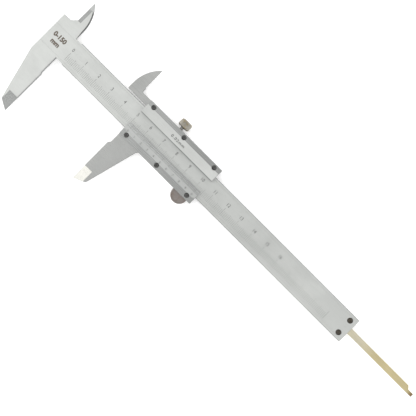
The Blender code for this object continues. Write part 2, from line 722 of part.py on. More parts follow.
def make_axle(parent, material):
    """The roller's headed pin, put in from the back and held in the frame's ear."""
    seat_z = AXLE_BACK + AXLE_HEAD_HEIGHT
    chamfer = 0.2
    axle = loft([
        (AXLE_BACK, circle(AXLE_HEAD_RADIUS)),
        (seat_z, circle(AXLE_HEAD_RADIUS)),
        (seat_z, circle(AXLE_RADIUS)),
        (AXLE_FRONT - chamfer, circle(AXLE_RADIUS)),
        (AXLE_FRONT, circle(AXLE_RADIUS - chamfer)),
    ])
    shade_round(make_object("roller_axle", axle, parent, material, (ROLLER_X, ROLLER_Y, 0)))


# ---- Assembly ----


def build_caliper():
    clear_scene()
    steel = make_material("satin_steel", (0.62, 0.63, 0.61), 0.38, 1.0)
    jaw_steel = make_material("ground_steel", (0.48, 0.48, 0.47), 0.32, 1.0)
    black = make_material("black_oxide", (0.03, 0.03, 0.028), 0.35, 0.6)
    nickel = make_material("nickel_plated_brass", (0.46, 0.43, 0.34), 0.35, 1.0)
    bronze = make_material("phosphor_bronze", (0.55, 0.36, 0.2), 0.35, 1.0)
    rod_steel = make_material("straw_steel", (0.6, 0.54, 0.36), 0.4, 1.0)

    datum = make_empty("fixed_face_datum", -ORIGIN)
    make_beam(datum, steel)
    make_stop_plate(datum, steel)
    make_screws(end_screw_places(), END_SCREW, datum, black)

    slider = make_empty("slider_datum", (READING, 0, 0), datum)
    make_frame(slider, jaw_steel)
    make_plate("vernier_plate", vernier_section(), slider, steel)
    make_plate("cover_plate", cover_section(), slider, steel)
    make_screws(plate_screw_places(), PLATE_SCREW, slider, black)
    make_depth_rod(slider, rod_steel)
    make_rod_pins(slider, jaw_steel)
    make_set_screws(slider, black)
    make_axle(slider, black)

    gib_datum = make_empty("gib_datum", (LOCK_X, 0, SCREW_AXIS_Z), slider)
    make_gib(gib_datum, bronze)
    lock_axis = make_empty("lock_screw_axis", (0, 0, 0), gib_datum)
    lock_axis.rotation_euler = ACROSS
    make_lock_screw(lock_axis, black, nickel)

    roller_axis = make_empty("roller_axis", (ROLLER_X, ROLLER_Y, 0), slider)
    make_roller(roller_axis, nickel)


build_caliper()
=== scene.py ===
"""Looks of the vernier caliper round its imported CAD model: finishes, graduations, numbers and knurls.

Lengths are in metres, in the row frame: +X along the beam, +Y towards the inside jaws, +Z out of the scale.
"""

import json
import math

import bmesh
import bpy
from mathutils import Matrix, Vector


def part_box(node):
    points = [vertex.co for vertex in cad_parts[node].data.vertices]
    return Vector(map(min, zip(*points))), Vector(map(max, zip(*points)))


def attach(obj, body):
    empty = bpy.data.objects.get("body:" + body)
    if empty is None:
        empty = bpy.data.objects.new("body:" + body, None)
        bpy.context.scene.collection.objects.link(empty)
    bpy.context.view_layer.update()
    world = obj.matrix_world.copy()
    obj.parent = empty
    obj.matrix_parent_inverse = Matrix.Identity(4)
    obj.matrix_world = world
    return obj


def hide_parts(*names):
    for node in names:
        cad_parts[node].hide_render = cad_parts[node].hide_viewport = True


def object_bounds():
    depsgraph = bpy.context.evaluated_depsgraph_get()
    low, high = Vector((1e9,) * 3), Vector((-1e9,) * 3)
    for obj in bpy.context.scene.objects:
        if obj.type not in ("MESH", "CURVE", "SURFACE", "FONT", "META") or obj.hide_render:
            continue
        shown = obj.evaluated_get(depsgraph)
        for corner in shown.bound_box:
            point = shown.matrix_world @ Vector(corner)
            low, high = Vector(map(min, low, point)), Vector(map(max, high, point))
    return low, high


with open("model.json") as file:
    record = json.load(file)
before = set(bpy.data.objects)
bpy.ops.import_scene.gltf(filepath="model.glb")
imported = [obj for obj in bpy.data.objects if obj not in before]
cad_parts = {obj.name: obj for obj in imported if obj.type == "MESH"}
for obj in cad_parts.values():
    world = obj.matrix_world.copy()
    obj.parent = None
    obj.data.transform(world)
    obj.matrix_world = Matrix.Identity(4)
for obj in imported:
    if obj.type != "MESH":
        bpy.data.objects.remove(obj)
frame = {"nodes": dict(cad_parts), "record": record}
cad_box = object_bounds()

MM = 0.001
NODES = frame["nodes"]
MOUNTS = {mount["name"]: Vector(mount["pos_m"]) for mount in frame["record"]["mounts"]}

# Places read from the frame
FIXED_X = MOUNTS["fixed_outside_face"].x
MOVING_X = MOUNTS["moving_outside_face"].x
BEAM_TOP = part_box("beam")[1].z
VERNIER_LOW, VERNIER_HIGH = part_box("vernier_plate")
COVER_LOW, COVER_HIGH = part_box("cover_plate")
ROD_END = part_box("depth_rod")[1].x
KNOB_LOW, KNOB_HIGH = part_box("lock_screw_knob")
ROLLER_LOW, ROLLER_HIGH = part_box("thumb_roller")
CENTRE_Y = (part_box("end_screw_lower")[0].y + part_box("end_screw_upper")[1].y) / 2  # the beam's centre line

# Scales, and the faces that they lie on
SCALE_DEPTH = 0.12 * MM  # of the graduated face below the beam's guide strips
SCALE_ZERO = 3.75 * MM  # from either measuring face to its own zero line
SCALE_START_Y = CENTRE_Y - 5.2 * MM
MAIN_LINES, MAIN_PITCH = 200, 1.0 * MM
MAIN_LENGTHS = {10: 5.1 * MM, 5: 4.2 * MM, 1: 3.6 * MM}  # of each tenth, fifth and other line
MAIN_NUMBERS, MAIN_NUMBER_Y, MAIN_NUMBER_HEIGHT = 17, CENTRE_Y + 2.2 * MM, 2.1 * MM
VERNIER_LINES, VERNIER_PITCH = 50, 0.98 * MM
VERNIER_SLOPE_RUN, VERNIER_EDGE_THICKNESS = 2.6 * MM, 0.2 * MM
VERNIER_LENGTHS = {5: 0.95, 1: 0.62}  # of each fifth and other line, up the slope, in shares of its length
VERNIER_LINE_END = 0.03  # a share too, at the plate's thin edge
VERNIER_NUMBER_Y, VERNIER_NUMBER_HEIGHT = VERNIER_HIGH.y - 4.15 * MM, 1.35 * MM
MARK_WIDTH, MARK_LONG_WIDTH, NUMBER_WIDTH = 0.1 * MM, 0.13 * MM, 0.86
MARK_SINK, MARK_PROUD = 0.03 * MM, 0.002 * MM

# Labels: the reading, placed from the middle of the cover plate's low edge, and the range on the head
LABEL_SHIFT, LABEL_RISE, LABEL_HEIGHT = -1.3 * MM, 2.8 * MM, 1.6 * MM
LABEL_WIDEN, LABEL_SPACING, LABEL_WEIGHT = 1.15, 1.25, 0.02
RANGE_X, RANGE_HEIGHT, RANGE_WEIGHT = FIXED_X - 6.3 * MM, 2.7 * MM, 0.045
RANGE_LINES = {"0-150": 1.9 * MM, "mm": -2.0 * MM}  # each line's rise from the beam's centre line

# Angles between a solid's faces, from which an edge is a crease, is rounded, or is still sharp once rounded
CREASE_ANGLE, ROUNDED_ANGLE, SHARP_ANGLE = math.radians(5), math.radians(16.5), math.radians(40)

# Camera: the point that it's aimed at, its height above that point, its lens and its turn about Z
VIEW_AIM = Vector((FIXED_X + 116.84 * MM, CENTRE_Y - 6.9 * MM, BEAM_TOP))
VIEW_DISTANCE, VIEW_LENS, VIEW_TURN = 527 * MM, 83.3, math.radians(45)


# ---- Mesh helpers ----


def mesh_piece(name, bm, body, material, smooth=False):
    """An object of the mesh in bm, with a material, that rides on a body."""
    bmesh.ops.recalc_face_normals(bm, faces=bm.faces)
    mesh = bpy.data.meshes.new(name)
    bm.to_mesh(mesh)
    bm.free()
    if smooth:
        mesh.shade_smooth()
        mesh.set_sharp_from_angle(angle=SHARP_ANGLE)
    mesh.materials.append(material)
    piece = bpy.data.objects.new(name, mesh)
    bpy.context.scene.collection.objects.link(piece)
    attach(piece, body)
    return piece


def add_bar(bm, start, end, width):
    """A thin bar between two points of a face that slopes along Y, sunk in it and hardly proud of it."""
    out = Vector((1, 0, 0)).cross(end - start).normalized()
    side = Vector((width / 2, 0, 0))
    low, high = -MARK_SINK * out, MARK_PROUD * out
    bottom = [bm.verts.new(p + low) for p in (start - side, start + side, end + side, end - side)]
    top = [bm.verts.new(p + high) for p in (start - side, start + side, end + side, end - side)]
    bm.faces.new(bottom)
    bm.faces.new(top)
    for i in range(4):
        j = (i + 1) % 4
        bm.faces.new((bottom[i], bottom[j], top[j], top[i]))


def add_text(bm, text, centre, height, widen=1.0, spacing=1.0, weight=0.0):
    """Flat letters, upright along +Y, centred on a point of a level face. Height is a numeral's height."""
    curve = bpy.data.curves.new("letters", "FONT")
    curve.body = text
    curve.align_x = "CENTER"
    curve.resolution_u = 4
    curve.extrude = 0.5  # to either side, so a thickness of 1 before it's scaled
    curve.space_character = spacing
    curve.offset = weight
    letters = bpy.data.objects.new("letters", curve)
    bpy.context.scene.collection.objects.link(letters)
    graph = bpy.context.evaluated_depsgraph_get()
    mesh = bpy.data.meshes.new_from_object(letters.evaluated_get(graph))
    numeral_height = 0.729  # of the built-in font, for a size of 1
    scale = height / numeral_height
    flat = MARK_SINK + MARK_PROUD
    place = Matrix.Translation(centre + Vector((0, -height / 2, (MARK_PROUD - MARK_SINK) / 2)))
    mesh.transform(place @ Matrix.Diagonal((scale * widen, scale, flat, 1)))
    known = len(bm.verts)
    bm.from_mesh(mesh)
    bm.verts.ensure_lookup_table()
    bmesh.ops.remove_doubles(bm, verts=bm.verts[known:], dist=0.001 * MM)
    bpy.data.objects.remove(letters)
    bpy.data.curves.remove(curve)
    bpy.data.meshes.remove(mesh)


def add_turned(bm, profile, place, count, radius_at=lambda radius, angle: radius):
    """A closed solid turned about Z through (radius, height) points. radius_at may flute it."""
    angles = [2 * math.pi * i / count for i in range(count)]
    rings = []
    for radius, height in profile:
        radii = [radius_at(radius, a) for a in angles]
        points = [Vector((r * math.cos(a), r * math.sin(a), height)) for r, a in zip(radii, angles)]
        rings.append([bm.verts.new(place @ point) for point in points])
    for lower, upper in zip(rings, rings[1:]):
        for i in range(count):
            j = (i + 1) % count
            bm.faces.new((lower[i], lower[j], upper[j], upper[i]))
    bm.faces.new(rings[0])
    bm.faces.new(rings[-1])


def rounded(centre, radius, start, end, steps):
    """Points of a profile's rounded corner, from the start angle to the end angle in degrees."""
    angles = [math.radians(start + (end - start) * i / steps) for i in range(steps + 1)]
    return [(centre[0] + radius * math.cos(a), centre[1] + radius * math.sin(a)) for a in angles]


# ---- Node helpers, for materials and for geometry ----


def feed(tree, socket, value):
    """Links an input to a value that comes from another socket, or sets it to a plain value."""
    if isinstance(value, bpy.types.NodeSocket):
        tree.links.new(value, socket)
    else:
        socket.default_value = value


def maths(tree, operation, first, second=0.0, clamp=False):
    """The output of a new maths node."""
    node = tree.nodes.new("ShaderNodeMath")
    node.operation = operation
    node.use_clamp = clamp
    feed(tree, node.inputs[0], first)
    feed(tree, node.inputs[1], second)
    return node.outputs[0]


# ---- Edges of the CAD nodes ----


def part_shading(tree, geometry, edges):
    """Keeps the shading of the picked edges' two sides apart."""
    node = tree.nodes.new("GeometryNodeSetShadeSmooth")
    node.domain = "EDGE"
    feed(tree, node.inputs["Geometry"], geometry)
    feed(tree, node.inputs["Selection"], edges)
    feed(tree, node.inputs["Shade Smooth"], False)
    return node.outputs[0]


def pick_for_bevel(tree, geometry, edges):
    """Gives the picked edges the weight that a bevel reads."""
    node = tree.nodes.new("GeometryNodeStoreNamedAttribute")
    node.data_type = "FLOAT"
    node.domain = "EDGE"
    feed(tree, node.inputs["Geometry"], geometry)
    feed(tree, node.inputs["Name"], "bevel_weight_edge")
    feed(tree, node.inputs["Value"], edges)
    return node.outputs[0]


def make_edge_marks(name, low, high, rounded_above=None):
    """A node group that parts the shading at the edges between two angles.

    It also picks the edges above a third angle to be rounded. An edge's angle is above zero at an outer
    corner and below zero at an inner one.
    """
    tree = bpy.data.node_groups.new(name, "GeometryNodeTree")
    for in_out in ("INPUT", "OUTPUT"):
        tree.interface.new_socket("Geometry", in_out=in_out, socket_type="NodeSocketGeometry")
    angle = tree.nodes.new("GeometryNodeInputMeshEdgeAngle").outputs["Signed Angle"]
    above, below = maths(tree, "GREATER_THAN", angle, low), maths(tree, "LESS_THAN", angle, high)
    geometry = tree.nodes.new("NodeGroupInput").outputs[0]
    geometry = part_shading(tree, geometry, maths(tree, "MULTIPLY", above, below))
    if rounded_above is not None:
        geometry = pick_for_bevel(tree, geometry, maths(tree, "GREATER_THAN", angle, rounded_above))
    feed(tree, tree.nodes.new("NodeGroupOutput").inputs[0], geometry)
    return tree


def soften_edges(node, width, creases, corners):
    """Rounds a CAD node's outer corners as grinding and handling leave them, with clean shading.

    creases is the node group that goes before the rounding, and corners are those that go after it.
    """
    piece = NODES[node]
    piece.data.shade_smooth()
    weld = piece.modifiers.new("weld", "WELD")
    weld.merge_threshold = 0.0005 * MM
    flat = piece.modifiers.new("flat_faces", "DECIMATE")
    flat.decimate_type = "DISSOLVE"
    flat.angle_limit = math.radians(0.2)
    piece.modifiers.new("creases", "NODES").node_group = creases
    edges = piece.modifiers.new("edges", "BEVEL")
    edges.width = width
    edges.segments = 2
    edges.limit_method = "WEIGHT"
    edges.use_clamp_overlap = False
    for group in corners:
        piece.modifiers.new(group.name, "NODES").node_group = group
    normals = piece.modifiers.new("normals", "WEIGHTED_NORMAL")
    normals.weight = 60
    normals.keep_sharp = True


# ---- Finishes ----


class Finish:
    """A procedural material. Its nodes read only the object's own coordinates and normals."""

    def __init__(self, name, metallic):
        self.material = bpy.data.materials.new(name)
        self.material.use_nodes = True
        self.tree = self.material.node_tree
        self.shader = self.tree.nodes["Principled BSDF"]
        self.shader.inputs["Metallic"].default_value = metallic
        self.coordinates = self.tree.nodes.new("ShaderNodeTexCoord")

    def feed(self, socket, value):
        feed(self.tree, socket, value)

    def maths(self, operation, first, second=0.0, clamp=False):
        return maths(self.tree, operation, first, second, clamp)

    def noise(self, scale, detail=3.0, roughness=0.6):
        """Noise whose grain is finer along each axis by that axis's scale."""
        mapping = self.tree.nodes.new("ShaderNodeMapping")
        mapping.inputs["Scale"].default_value = scale
        self.tree.links.new(self.coordinates.outputs["Object"], mapping.inputs["Vector"])
        node = self.tree.nodes.new("ShaderNodeTexNoise")
        node.inputs["Scale"].default_value = 1.0
        node.inputs["Detail"].default_value = detail
        node.inputs["Roughness"].default_value = roughness
        self.tree.links.new(mapping.outputs["Vector"], node.inputs["Vector"])
        return node.outputs["Fac"]

    def ramp(self, value, low, high, to_low=0.0, to_high=1.0):
        """The value's place between low and high, smoothed, from to_low to to_high."""
        node = self.tree.nodes.new("ShaderNodeMapRange")
        node.interpolation_type = "SMOOTHSTEP"
        for socket, number in zip(list(node.inputs)[:5], (value, low, high, to_low, to_high)):
            self.feed(socket, number)
        return node.outputs["Result"]

    def along(self, axis, normal=False):
        """The object coordinate, or the normal's part, along an axis."""
        split = self.tree.nodes.new("ShaderNodeSeparateXYZ")
        self.tree.links.new(self.coordinates.outputs["Normal" if normal else "Object"], split.inputs[0])
        return split.outputs[axis]

    def mix(self, factor, first, second):
        """A mix of two colours, (r, g, b) or sockets."""
        node = self.tree.nodes.new("ShaderNodeMix")
        node.data_type = "RGBA"
        self.feed(node.inputs["Factor"], factor)
        colours = [socket for socket in node.inputs if socket.type == "RGBA"]
        for socket, colour in zip(colours, (first, second)):
            self.feed(socket, colour if isinstance(colour, bpy.types.NodeSocket) else (*colour, 1.0))
        return next(socket for socket in node.outputs if socket.type == "RGBA")

    def scaled(self, colour, factor):
        node = self.tree.nodes.new("ShaderNodeVectorMath")
        node.operation = "SCALE"
        self.feed(node.inputs["Vector"], colour)
        self.feed(node.inputs["Scale"], factor)
        return node.outputs["Vector"]

    def bump(self, height, strength, distance):
        node = self.tree.nodes.new("ShaderNodeBump")
        node.inputs["Strength"].default_value = strength
        node.inputs["Distance"].default_value = distance
        self.tree.links.new(height, node.inputs["Height"])
        self.tree.links.new(node.outputs["Normal"], self.shader.inputs["Normal"])

    def done(self, colour, roughness):
        self.feed(self.shader.inputs["Base Color"], colour)
        self.feed(self.shader.inputs["Roughness"], roughness)
        return self.material


GRAINS = {"X": (90, 6000, 6000), "Y": (6000, 90, 6000), "none": (2500, 2500, 2500)}
CLOUDS = (55, 90, 90)
SCUFFS = (420, 1500, 1500)
STREAKY, PATCHY = (0.25, 0.75), (0.3, 0.7)  # the noise values between which streaks and patches turn
LEVEL = (0.9915, 0.998)  # a normal's upward part, from a slight slope to a level face


def aged(finish, base, ageing, clouds):
    """The base colour, turned over stretches of X to other colours, with an uneven border."""
    for start, end, colour in ageing:
        wander = finish.maths("MULTIPLY", finish.maths("SUBTRACT", clouds, 0.5), (end - start) * 0.5)
        place = finish.maths("ADD", finish.along("X"), wander)
        base = finish.mix(finish.ramp(place, start, end), base, colour)
    return base


def rubbed(finish, light, upward, painted_shading):
    """Painted light and shade along X: the light made darker or brighter over a stretch of X, for light that
    falls unevenly along the caliper.

    painted_shading is four places along X, where the change starts, is full, starts to fade and ends, and
    then the shares of the light that sloping faces and level faces keep where it's full.
    """
    start, full, until, end, sloping, level = painted_shading
    rising = finish.ramp(finish.along("X"), start, full)
    falling = finish.ramp(finish.along("X"), until, end, 1.0, 0.0)
    change = finish.ramp(upward, *LEVEL, sloping - 1, level - 1)
    change = finish.maths("MULTIPLY", finish.maths("MULTIPLY", rising, falling), change)
    return finish.maths("MULTIPLY", light, finish.maths("ADD", 1.0, change))


def brushed(name, colour, roughness, grain, tone=0.05, faces=(), painted_side_shade=None, ageing=(), painted_shading=None):
    """Ground or satin metal, streaked along an axis.

    faces are colours by tilt: two upward parts of the normal, between which the metal turns to a colour and a
    roughness; partly the real ground and satin finishes, partly painted light and shade for each tilt.
    painted_side_shade is a colour of painted shade for the sides that face along +X. ageing is stretches of
    X, over each of which it turns to a colour. painted_shading is as for rubbed.
    """
    finish = Finish(name, 1.0)
    streaks = finish.noise(GRAINS[grain], 3.0)
    clouds = finish.noise(CLOUDS, 4.0)
    scuffs = finish.ramp(finish.noise(SCUFFS, 3.0), 0.60, 0.78)
    base, rough = finish.mix(0.0, colour, colour), roughness
    upward = finish.maths("ABSOLUTE", finish.along("Z", normal=True))
    # Colours by tilt: partly the real ground and satin finishes, partly painted light and shade on steeper
    # faces.
    for low, high, face_colour, face_roughness in faces:
        share = finish.ramp(upward, low, high)
        base = finish.mix(share, base, face_colour)
        rough = finish.ramp(share, 0.0, 1.0, rough, face_roughness)
    # Painted shade: the sides that face along +X are darkened, as less light falls on them.
    if painted_side_shade:
        base = finish.mix(finish.ramp(finish.along("X", normal=True), 0.35, 0.6), base, painted_side_shade)
    base = aged(finish, base, ageing, clouds)
    light = finish.ramp(streaks, *STREAKY, 1 - tone, 1 + tone)
    light = finish.maths("MULTIPLY", light, finish.ramp(clouds, *PATCHY, 1 - tone, 1 + tone))
    light = finish.maths("SUBTRACT", light, finish.maths("MULTIPLY", scuffs, 1.6 * tone))
    # Painted light and shade along X.
    if painted_shading:
        light = rubbed(finish, light, upward, painted_shading)
    rough = finish.maths("ADD", rough, finish.ramp(streaks, *STREAKY, -0.05, 0.05))
    rough = finish.maths("ADD", rough, finish.maths("MULTIPLY", scuffs, 0.12), clamp=True)
    finish.bump(streaks, 0.35, 0.004 * MM)
    return finish.done(finish.scaled(base, light), rough)


def blackened(name, colour, worn, roughness):
    """Black oxide, worn bright in specks."""
    finish = Finish(name, 0.85)
    grains = finish.noise((1800, 1800, 1800), 4.0)
    patches = finish.noise((500, 500, 500), 3.0)
    base = finish.mix(finish.ramp(grains, 0.62, 0.80, 0.0, 0.6), colour, worn)
    light = finish.ramp(patches, *PATCHY, 0.75, 1.35)
    rough = finish.ramp(patches, *PATCHY, roughness - 0.08, roughness + 0.1)
    finish.bump(grains, 0.4, 0.01 * MM)
    return finish.done(finish.scaled(base, light), rough)


def worn_plate(name, plate, beneath, roughness, amount):
    """Nickel plate that has worn through to the metal beneath in patches, more so for a larger amount."""
    finish = Finish(name, 1.0)
    patches = finish.noise((380, 380, 380), 5.0, 0.65)
    specks = finish.noise((2600, 2600, 2600), 3.0)
    worn = finish.ramp(patches, 0.62 - amount, 0.72 - amount * 0.4)
    base = finish.mix(worn, plate, beneath)
    light = finish.ramp(specks, *PATCHY, 0.8, 1.15)
    rough = finish.ramp(specks, *PATCHY, roughness - 0.06, roughness + 0.12)
    finish.bump(specks, 0.4, 0.01 * MM)
    return finish.done(finish.scaled(base, light), rough)


def ink(name, colour):
    """The filling of the graduations, numbers and labels, a little uneven."""
    finish = Finish(name, 0.0)
    grains = finish.noise((3000, 3000, 3000), 3.0)
    light = finish.ramp(grains, *PATCHY, 0.7, 1.5)
    rough = finish.ramp(grains, *PATCHY, 0.5, 0.75)
    return finish.done(finish.scaled(finish.mix(0.0, colour, colour), light), rough)


def floor_finish():
    """White paper that glows a little, as on a light table, which keeps the shadows faint."""
    finish = Finish("studio_paper", 0.0)
    white, glow = (0.96, 0.96, 0.96), 0.3
    fibres = finish.noise((900, 900, 900), 2.0)
    light = finish.ramp(fibres, *PATCHY, 0.985, 1.0)
    finish.feed(finish.shader.inputs["Emission Color"], (1.0, 1.0, 1.0, 1.0))
    finish.feed(finish.shader.inputs["Emission Strength"], glow)
    return finish.done(finish.scaled(finish.mix(0.0, white, white), light), 0.9)


# Colours by a face's tilt. The satin level faces and the ground sides are real finishes, each with its own
# roughness, but their brightness is also set for how light falls on them: painted light and shade.
SATIN, SATIN_ROUGHNESS = (0.48, 0.49, 0.475), 0.48
PLATE_SATIN, DULL_SATIN = (0.458, 0.467, 0.453), (0.40, 0.408, 0.398)
GROUND, GROUND_ROUGHNESS = (0.324, 0.331, 0.324), 0.26
# Painted shades: steep walls and chamfers are darker for the light they catch less, and the sides that face
# along +X darkest.
PAINTED_WALL_SHADE, PAINTED_CHAMFER_SHADE, PAINTED_PLUS_X_SHADE = (0.235, 0.24, 0.235), (0.20, 0.204, 0.20), (0.125, 0.127, 0.125)
STRAW, BROWN = (0.485, 0.42, 0.245), (0.21, 0.14, 0.07)


def make_finishes():
    """Every finish, by the short name that the nodes and pieces ask for it by."""
    # Painted shade on chamfers and steep walls, a darker ground rim and a lighter vernier slope, all set by
    # tilt.
    chamfers = (0.35, 0.6, PAINTED_CHAMFER_SHADE, GROUND_ROUGHNESS)
    grinds = (0.82, 0.87, GROUND, GROUND_ROUGHNESS)
    satin_faces = (*LEVEL, SATIN, SATIN_ROUGHNESS)
    plate_faces = (*LEVEL, PLATE_SATIN, SATIN_ROUGHNESS)
    rims = (0.87, 0.93, GROUND, GROUND_ROUGHNESS)
    dull_faces = (*LEVEL, DULL_SATIN, SATIN_ROUGHNESS)
    slider_shade_stretch = [FIXED_X + x * MM for x in (48, 62, 145, 190)]  # painted shade, duller in the photo beside the slider, where its shadow falls
    # Painted light along the plates: towards +X their sloping faces are darker, and the cover's top is
    # lighter.
    plate_length = (COVER_LOW.x, COVER_HIGH.x, 1.0, 2.0)  # the last two places are far beyond the plates
    return {
        "beam": brushed(
            "beam_satin_chrome", PAINTED_WALL_SHADE, GROUND_ROUGHNESS, "X", 0.045, (chamfers, grinds, satin_faces),
            painted_side_shade=PAINTED_PLUS_X_SHADE, painted_shading=(*slider_shade_stretch, 0.75, 0.92),
        ),
        "cover": brushed(
            "cover_satin_chrome", GROUND, GROUND_ROUGHNESS, "X", 0.045, (plate_faces,),
            painted_shading=(*plate_length, 0.8, 1.1),
        ),
        "vernier": brushed(
            "vernier_satin_chrome", (0.40, 0.41, 0.40), GROUND_ROUGHNESS, "X", 0.045, (rims, dull_faces),
            painted_shading=(*plate_length, 0.84, 1.0),
        ),
        # Painted shade: the frame's steep faces are darker and warmer than its level ones. This tones down
        # the highlight on its ground tips and paints a warm tint into it.
        "frame": brushed(
            "frame_ground_steel", (0.305, 0.302, 0.282), 0.30, "X", 0.05,
            ((*LEVEL, (0.35, 0.355, 0.346), 0.30),), painted_side_shade=PAINTED_PLUS_X_SHADE,
        ),
        "stop": brushed("stop_plate_steel", (0.38, 0.38, 0.37), 0.34, "Y", 0.05),
        "rod": brushed(
            "rod_tempered_steel", (0.50, 0.464, 0.348), 0.36, "X", 0.07,
            ageing=(
                (ROD_END - 42 * MM, ROD_END - 28 * MM, STRAW),
                (ROD_END - 4.5 * MM, ROD_END - 0.3 * MM, BROWN),
            ),
        ),
        "pin": brushed("pin_steel", (0.375, 0.375, 0.366), 0.3, "none", 0.06),
        "gib": brushed("gib_bronze", (0.45, 0.28, 0.14), 0.35, "X", 0.06),
        "black": blackened("black_oxide", (0.070, 0.070, 0.068), (0.26, 0.25, 0.24), 0.34),
        "end_black": blackened("brown_oxide", (0.063, 0.056, 0.046), (0.26, 0.22, 0.18), 0.38),
        "shank": worn_plate("shank_nickel", (0.2, 0.196, 0.188), (0.13, 0.12, 0.11), 0.36, 0.05),
        "knob": worn_plate("knob_nickel_on_brass", (0.325, 0.31, 0.27), (0.28, 0.215, 0.10), 0.32, 0.12),
        "roller": worn_plate("roller_nickel", (0.225, 0.203, 0.19), (0.18, 0.145, 0.12), 0.40, 0.10),
        "ink": ink("graduation_ink", (0.05, 0.05, 0.048)),
        "brown_ink": ink("mark_ink", (0.07, 0.049, 0.032)),
    }


FINISHES = make_finishes()

NODE_FINISHES = {
    "beam": "beam", "stop_plate": "stop", "end_screw_lower": "end_black", "end_screw_upper": "end_black",
    "slider_frame": "frame", "vernier_plate": "vernier", "cover_plate": "cover", "roller_axle": "black",
    "depth_rod": "rod", "depth_rod_pin_1": "pin", "depth_rod_pin_2": "pin", "gib_strip": "gib",
    "gib_set_screw_1": "black", "gib_set_screw_2": "black", "lock_screw_shank": "shank",
    **{f"{plate}_plate_screw_{i}": "black" for plate in ("vernier", "cover") for i in (1, 2, 3)},
}

EDGE_WIDTHS = {
    "beam": 0.06 * MM, "slider_frame": 0.1 * MM, "vernier_plate": 0.06 * MM, "cover_plate": 0.1 * MM,
    "stop_plate": 0.15 * MM, "depth_rod": 0.12 * MM, "gib_strip": 0.06 * MM,
}
SCREW_EDGE_WIDTH = 0.06 * MM


def finish_nodes():
    """Gives every CAD node that stays visible its finish and its rounded corners."""
    creases = make_edge_marks("creases", CREASE_ANGLE, ROUNDED_ANGLE, ROUNDED_ANGLE)
    corners = [
        make_edge_marks("inner_corners", -2 * math.pi, -CREASE_ANGLE),
        make_edge_marks("sharp_corners", SHARP_ANGLE, 2 * math.pi),
    ]
    for node, finish in NODE_FINISHES.items():
        slots = NODES[node].data.materials
        slots.clear()
        slots.append(FINISHES[finish])
        soften_edges(node, EDGE_WIDTHS.get(node, SCREW_EDGE_WIDTH), creases, corners)


# ---- Graduations and numbers ----


def step_length(lengths, index):
    """The length of a scale's line: that of the largest step that divides its number."""
    return next(lengths[step] for step in sorted(lengths, reverse=True) if index % step == 0)


def make_main_scale():
    """The beam's millimetre lines and its numbers."""
    face_z = BEAM_TOP - SCALE_DEPTH
    lines = bmesh.new()
    for i in range(MAIN_LINES + 1):
        start = Vector((FIXED_X + SCALE_ZERO + i * MAIN_PITCH, SCALE_START_Y, face_z))
        end = start + Vector((0, step_length(MAIN_LENGTHS, i), 0))
        add_bar(lines, start, end, MARK_WIDTH if i % 5 else MARK_LONG_WIDTH)
    mesh_piece("beam_graduations", lines, "beam", FINISHES["ink"])
    numbers = bmesh.new()
    for i in range(MAIN_NUMBERS):
        x = FIXED_X + SCALE_ZERO + 10 * i * MAIN_PITCH
        add_text(numbers, str(i), Vector((x, MAIN_NUMBER_Y, face_z)), MAIN_NUMBER_HEIGHT, NUMBER_WIDTH)
    mesh_piece("beam_numbers", numbers, "beam", FINISHES["ink"])


def make_vernier_scale():
    """The vernier's lines, on the plate's graduated slope, and its numbers beside them."""
    edge = Vector((0, VERNIER_HIGH.y, VERNIER_LOW.z + VERNIER_EDGE_THICKNESS))
    crest = Vector((0, VERNIER_HIGH.y - VERNIER_SLOPE_RUN, VERNIER_HIGH.z))
    lines = bmesh.new()
    for i in range(VERNIER_LINES + 1):
        at = Vector((MOVING_X + SCALE_ZERO + i * VERNIER_PITCH, 0, 0))
        end = at + edge.lerp(crest, VERNIER_LINE_END)
        start = at + edge.lerp(crest, step_length(VERNIER_LENGTHS, i))
        add_bar(lines, start, end, MARK_WIDTH if i % 5 else MARK_LONG_WIDTH)
    mesh_piece("vernier_graduations", lines, "slider", FINISHES["ink"])
    numbers = bmesh.new()
    for i in range(VERNIER_LINES // 5 + 1):
        x = MOVING_X + SCALE_ZERO + 5 * i * VERNIER_PITCH
        centre = Vector((x, VERNIER_NUMBER_Y, VERNIER_HIGH.z))
        add_text(numbers, str(i % 10), centre, VERNIER_NUMBER_HEIGHT)
    mesh_piece("vernier_numbers", numbers, "slider", FINISHES["ink"])


def make_labels():
    """The vernier's reading on the cover plate and the caliper's range on the head."""
    label = bmesh.new()
    middle = (COVER_LOW.x + COVER_HIGH.x) / 2
    centre = Vector((middle + LABEL_SHIFT, COVER_LOW.y + LABEL_RISE, COVER_HIGH.z))
    add_text(label, "0.02mm", centre, LABEL_HEIGHT, LABEL_WIDEN, LABEL_SPACING, LABEL_WEIGHT)
    mesh_piece("resolution_label", label, "slider", FINISHES["ink"])
    mark = bmesh.new()
    for text, rise in RANGE_LINES.items():
        centre = Vector((RANGE_X, CENTRE_Y + rise, BEAM_TOP - SCALE_DEPTH))
        add_text(mark, text, centre, RANGE_HEIGHT, weight=RANGE_WEIGHT)
    mesh_piece("range_mark", mark, "beam", FINISHES["brown_ink"])


# ---- Knurled pieces ----

POINTS_PER_RIDGE = 6
SMOOTH_SHARE = 0.8  # of the full radius, within which there are no ridges


def ridged(depth, ridges, full_radius):
    """Rounded ridges round a turned piece, deepest on its widest stretch and fading towards its ends."""
    def radius_at(radius, angle):
        share = max(0.0, (radius / full_radius - SMOOTH_SHARE) / (1 - SMOOTH_SHARE))
        return radius - share * depth * (0.5 - 0.5 * math.cos(ridges * angle)) ** 1.5
    return radius_at


